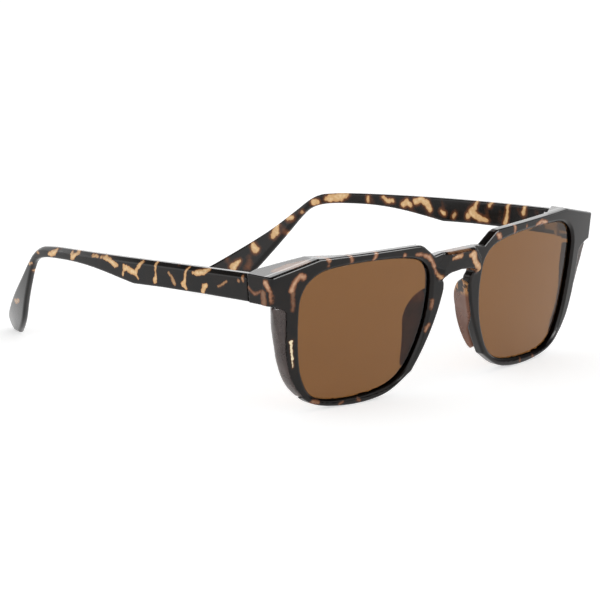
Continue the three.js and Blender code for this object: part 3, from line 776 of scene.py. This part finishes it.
class Nodes:
    """A material's node tree, with short ways to add and join nodes."""

    def __init__(self, name):
        self.material = bpy.data.materials.new(name)
        self.material.use_nodes = True
        self.tree = self.material.node_tree
        self.shader = self.tree.nodes["Principled BSDF"]

    def add(self, kind, **values):
        node = self.tree.nodes.new("ShaderNode" + kind)
        for key, value in values.items():
            setattr(node, key, value)
        return node

    def join(self, out, into):
        self.tree.links.new(out, into)

    def noise(self, scale, detail, roughness=0.5):
        """Noise in object space: scale is in features per metre."""
        if not hasattr(self, "place"):
            self.place = self.add("TexCoord").outputs["Object"]
        node = self.add("TexNoise")
        self.join(self.place, node.inputs["Vector"])
        node.inputs["Scale"].default_value = scale
        node.inputs["Detail"].default_value = detail
        node.inputs["Roughness"].default_value = roughness
        return node.outputs["Fac"]

    def math(self, operation, a, b):
        node = self.add("Math", operation=operation)
        for socket, value in zip(node.inputs, (a, b)):
            if isinstance(value, (int, float)):
                socket.default_value = value
            else:
                self.join(value, socket)
        return node.outputs[0]

    def range(self, value, low, high, to_low, to_high, smooth=True):
        node = self.add("MapRange", interpolation_type="SMOOTHSTEP" if smooth else "LINEAR")
        self.join(value, node.inputs["Value"])
        for key, number in zip(("From Min", "From Max", "To Min", "To Max"), (low, high, to_low, to_high)):
            node.inputs[key].default_value = number
        return node.outputs["Result"]

    def mix(self, share, a, b):
        node = self.add("Mix", data_type="RGBA")
        for socket, value in zip((node.inputs[0], node.inputs[6], node.inputs[7]), (share, a, b)):
            if isinstance(value, tuple):
                socket.default_value = (*value, 1.0)
            elif isinstance(value, float):
                socket.default_value = value
            else:
                self.join(value, socket)
        return node.outputs[2]

    def set(self, **values):
        """Values or links for the shader's sockets, by name."""
        for key, value in values.items():
            socket = self.shader.inputs[key.replace("_", " ")]
            if isinstance(value, bpy.types.NodeSocket):
                self.join(value, socket)
            elif isinstance(value, tuple):
                socket.default_value = (*value, 1.0)
            else:
                socket.default_value = value

    def bump(self, height, distance, strength):
        node = self.add("Bump")
        node.inputs["Strength"].default_value = strength
        node.inputs["Distance"].default_value = distance
        self.join(height, node.inputs["Height"])
        self.join(node.outputs["Normal"], self.shader.inputs["Normal"])


def linear(red, green, blue):
    """A screen colour, 0 to 255, as light."""
    return tuple(((c / 255 + 0.055) / 1.055) ** 2.4 for c in (red, green, blue))


def tortoiseshell():
    m = Nodes("tortoiseshell")
    patch, tone, halo, pink, groove = [m.add("Attribute", attribute_name=name).outputs["Fac"]
                                       for name in ("patch", "tone", "halo", "pink", "groove")]
    wobble = m.math("SUBTRACT", m.noise(700, 3, 0.6), 0.5)
    edge = m.math("ADD", patch, m.math("MULTIPLY", wobble, 1.3))
    soft = m.range(pink, 0, 1, 0.16, 0.32, smooth=False)
    core = m.range(m.math("DIVIDE", edge, soft), -1.0, 1.0, 1, 0)
    core = m.math("MULTIPLY", core, tone)
    reach = m.range(halo, 0, 1, 0.3, 1.5, smooth=False)
    glow = m.math("SUBTRACT", 1.0, m.math("DIVIDE", m.math("ADD", edge, 0.1), reach))
    glow = m.math("MINIMUM", m.math("MAXIMUM", glow, 0.0), 1.0)
    glow = m.math("MULTIPLY", m.math("MULTIPLY", glow, glow), m.range(tone, 0, 1, 0.35, 1))
    cloud = m.range(m.noise(260, 4), 0.35, 0.75, 0, 1)
    dark = m.mix(cloud, (0.0016, 0.0011, 0.001), (0.006, 0.0034, 0.0022))
    fleck = m.range(m.noise(900, 2), 0.62, 0.8, 0, 0.25)
    dark = m.mix(fleck, dark, (0.03, 0.013, 0.007))
    brown = m.mix(m.noise(1400, 2), linear(118, 64, 34), linear(160, 98, 56))
    streak = m.range(m.noise(800, 3), 0.3, 0.7, 0, 1)
    heart = m.range(edge, -0.75, 0.0, 0, 1)
    honey = m.mix(streak, linear(222, 192, 148), linear(204, 164, 114))
    honey = m.mix(heart, honey, linear(196, 152, 102))
    pale = m.range(tone, 1.0, 1.3, 0, 0.85, smooth=False)
    honey = m.mix(pale, honey, linear(228, 216, 182))
    rose = m.mix(streak, linear(208, 168, 134), linear(178, 134, 104))
    rose = m.mix(heart, rose, linear(142, 98, 72))
    colour = m.mix(m.math("MULTIPLY", glow, 0.7), dark, brown)
    colour = m.mix(core, colour, m.mix(pink, honey, rose))
    smudge = m.range(m.noise(90, 4), 0.3, 0.7, 0.1, 0.2)
    m.set(Base_Color=colour, Roughness=smudge, IOR=1.36)
    m.set(Specular_IOR_Level=m.range(groove, 0, 1, 0.5, 0.0))
    m.bump(m.noise(350, 2), 0.00002, 0.35)
    return m.material


LENS_TINT = (0.2, 0.09, 0.028)


def tinted_glass():
    m = Nodes("lens")
    m.set(Base_Color=LENS_TINT, Transmission_Weight=1.0, IOR=1.33)
    m.set(Roughness=m.range(m.noise(60, 5), 0.45, 0.8, 0.012, 0.05))
    m.bump(m.noise(45, 1), 0.00002, 0.2)
    return m.material


def smoky_plastic():
    m = Nodes("shield")
    shade = m.mix(m.range(m.noise(120, 3), 0.35, 0.7, 0, 1), (0.085, 0.066, 0.062), (0.115, 0.088, 0.082))
    shade = m.mix(m.range(m.noise(900, 2), 0.66, 0.76, 0, 0.5), shade, (0.16, 0.09, 0.075))
    m.set(Base_Color=shade, Transmission_Weight=0.45, IOR=1.38)
    m.set(Roughness=m.range(m.noise(300, 3), 0.3, 0.7, 0.24, 0.32))
    m.bump(m.noise(200, 2), 0.00001, 0.2)
    return m.material


def pad_plastic():
    m = Nodes("nose_pad")
    up = m.add("SeparateXYZ")
    m.join(m.add("TexCoord").outputs["Object"], up.inputs[0])
    top = m.range(up.outputs["Z"], 0.0265, 0.0285, 0, 1)
    shade = m.mix(m.range(m.noise(110, 2), 0.35, 0.65, 0, 1), (0.2, 0.086, 0.052), (0.14, 0.058, 0.034))
    patch = m.mix(m.range(m.noise(330, 2), 0.46, 0.54, 0, 1), (0.02, 0.011, 0.008), linear(190, 140, 95))
    shade = m.mix(top, shade, patch)
    m.set(Base_Color=shade, Transmission_Weight=0.25, IOR=1.3)
    m.set(Roughness=m.range(m.noise(300, 3), 0.3, 0.7, 0.25, 0.33))
    m.bump(m.noise(300, 2), 0.00001, 0.2)
    return m.material


def brushed_steel():
    m = Nodes("steel")
    stretch = m.add("Mapping")
    stretch.inputs["Scale"].default_value = (1, 1, 12)
    m.join(m.add("TexCoord").outputs["Object"], stretch.inputs["Vector"])
    m.place = stretch.outputs["Vector"]
    grain = m.noise(900, 4, 0.7)
    m.set(Base_Color=m.mix(grain, (0.42, 0.42, 0.43), (0.66, 0.66, 0.67)), Metallic=1.0)
    m.set(Roughness=m.range(grain, 0.3, 0.7, 0.24, 0.42))
    m.bump(grain, 0.00002, 0.5)
    return m.material


def floor_paper():
    m = Nodes("floor")
    m.set(Base_Color=m.mix(m.noise(40, 4), (0.80, 0.80, 0.80), (0.82, 0.82, 0.82)), Roughness=0.9)
    m.set(Specular_IOR_Level=0.0, Emission_Color=(1.0, 1.0, 1.0), Emission_Strength=0.5)
    m.bump(m.noise(400, 3), 0.0001, 0.2)
    return m.material


# ---- pieces ----------------------------------------------------------------------------------------

COARSER = 1.0
SIDES = {"left": 1, "right": -1}
# The boxes that hold the pieces, and the steps of the grids that mesh them.
ACETATE_STEP = 0.35
FRONT_BOX = (-74, -3, -1), (74, 17, 49)
TEMPLE_BOX = (-0.6, 8.6, -0.6), (4.2, 153.5, 44.4)
INSETS = (("lens", lens_distance, ((8, 0.8, 0), (64, 3.5, 47)), 0.5, "lens"),
          ("side_shield", shield_distance, ((54, 0, 3), (73.5, 9, 35.5)), 0.3, "shield"),
          ("nose_pad", pad_distance, ((3, 0, 6), (22, 11.5, 34)), 0.3, "nose_pad"))


def finish_piece(piece, material, body, node):
    piece.data.materials.append(material)
    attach(piece, body)
    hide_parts(node)


def half(side, low, high):
    """A box given for +x, on the named side."""
    if side > 0:
        return low, high
    return (-high[0], *low[1:]), (-low[0], *high[1:])


def make_front(materials):
    piece = mesh_piece("front_acetate", front_distance, front_place, *FRONT_BOX, ACETATE_STEP, front_marks)
    finish_piece(piece, materials["tortoiseshell"], "front", "front_frame")


def make_side(hand, materials):
    side = SIDES[hand]
    for part, distance, box, step, slot in INSETS:
        low, high = half(side, *box)
        piece = mesh_piece(hand + "_" + part + "_shape", distance, front_place, low, high, step)
        finish_piece(piece, materials[slot], "front", hand + "_" + part)
    outer = OUTER_STROKES if hand == "right" else random_strokes(11)
    inner = INNER_STROKES if hand == "left" else random_strokes(23)
    piece = mesh_piece(hand + "_temple_acetate", temple_distance, temple_place(side), *TEMPLE_BOX,
                       ACETATE_STEP, temple_marks(outer, inner))
    finish_piece(piece, materials["tortoiseshell"], hand + "_temple", hand + "_temple")


def finish_hinges(steel):
    for name, node in frame["nodes"].items():
        if "hinge" in name:
            node.data.materials.clear()
            node.data.materials.append(steel)


def make_floor():
    reach = 6.0
    mesh = bpy.data.meshes.new("floor")
    corners = [(-reach, -reach, 0), (reach, -reach, 0), (reach, reach, 0), (-reach, reach, 0)]
    mesh.from_pydata(corners, [], [(0, 1, 2, 3)])
    mesh.materials.append(floor_paper())
    floor = bpy.data.objects.new("floor", mesh)
    bpy.context.collection.objects.link(floor)


# ---- light and camera --------------------------------------------------------------------------------

# Brightness by height: 0 is level, and 1 straight overhead.
SKY = ((0, 0.75), (0.08, 1.0), (0.45, 0.9), (0.58, 0.12), (0.8, 0.02))
SKY_STRENGTH = 1.8


def make_world():
    """Brightest low in the sky, dark overhead."""
    world = bpy.data.worlds.new("studio")
    world.use_nodes = True
    tree = world.node_tree
    back = tree.nodes["Background"]
    place = tree.nodes.new("ShaderNodeTexCoord")
    split = tree.nodes.new("ShaderNodeSeparateXYZ")
    ramp = tree.nodes.new("ShaderNodeValToRGB")
    tree.links.new(place.outputs["Generated"], split.inputs[0])
    tree.links.new(split.outputs["Z"], ramp.inputs["Fac"])
    tree.links.new(ramp.outputs["Color"], back.inputs["Color"])
    stops = ramp.color_ramp.elements
    stops.remove(stops[1])
    for position, level in SKY:
        stop = stops[0] if position == 0 else stops.new(position)
        stop.color = (level, level, level, 1)
    back.inputs["Strength"].default_value = SKY_STRENGTH
    bpy.context.scene.world = world


# Each light's name, place, width and power, and whether it only makes reflections.
LIGHTS = (("overhead", (0.1, 0.0, 1.6), 2.4, 10, False),
          ("edge_light", (0.45, -1.2, 0.75), 1.3, 50, True),
          ("back_light", (0.73, 0.96, 0.71), 0.7, 2.3, True))


def add_light(name, at, size, power, seen_in_gloss):
    """A round soft light aimed at the origin, either left out of reflections or making only them."""
    light = bpy.data.lights.new(name, "AREA")
    light.shape = "DISK"
    light.size = size
    light.energy = power
    lamp = bpy.data.objects.new(name, light)
    lamp.location = at
    lamp.rotation_euler = (Vector((0, 0, 0)) - Vector(at)).to_track_quat("-Z", "Y").to_euler()
    lamp.visible_glossy = seen_in_gloss
    lamp.visible_diffuse = not seen_in_gloss
    lamp.visible_transmission = not seen_in_gloss
    bpy.context.collection.objects.link(lamp)


AZIMUTH, ELEVATION = -45.48, 12.2    # of the camera, in degrees
DISTANCE = 1.192
AIM = (3.6, 63.2, 15.85)             # the point in the picture's middle, in the design's coordinates
FOCAL_LENGTH, SENSOR = 223.4, 36.0


def make_camera():
    data = bpy.data.cameras.new("camera")
    data.lens = FOCAL_LENGTH
    data.sensor_width = SENSOR
    camera = bpy.data.objects.new("camera", data)
    turn, rise = math.radians(AZIMUTH), math.radians(ELEVATION)
    away = Vector((math.sin(turn) * math.cos(rise), -math.cos(turn) * math.cos(rise), math.sin(rise)))
    aim = Vector((AIM[0], AIM[1] + SHIFT_Y, AIM[2])) * MM
    camera.location = aim + DISTANCE * away
    camera.rotation_euler = (-away).to_track_quat("-Z", "Y").to_euler()
    bpy.context.collection.objects.link(camera)
    bpy.context.scene.camera = camera


def main():
    make_camera()
    materials = {"tortoiseshell": tortoiseshell(), "lens": tinted_glass(), "shield": smoky_plastic(),
                 "nose_pad": pad_plastic()}
    make_front(materials)
    for hand in SIDES:
        make_side(hand, materials)
    finish_hinges(brushed_steel())
    make_floor()
    make_world()
    for light in LIGHTS:
        add_light(*light)
    bpy.context.scene.view_settings.view_transform = "Standard"
    bpy.context.scene.view_settings.look = "None"


main()
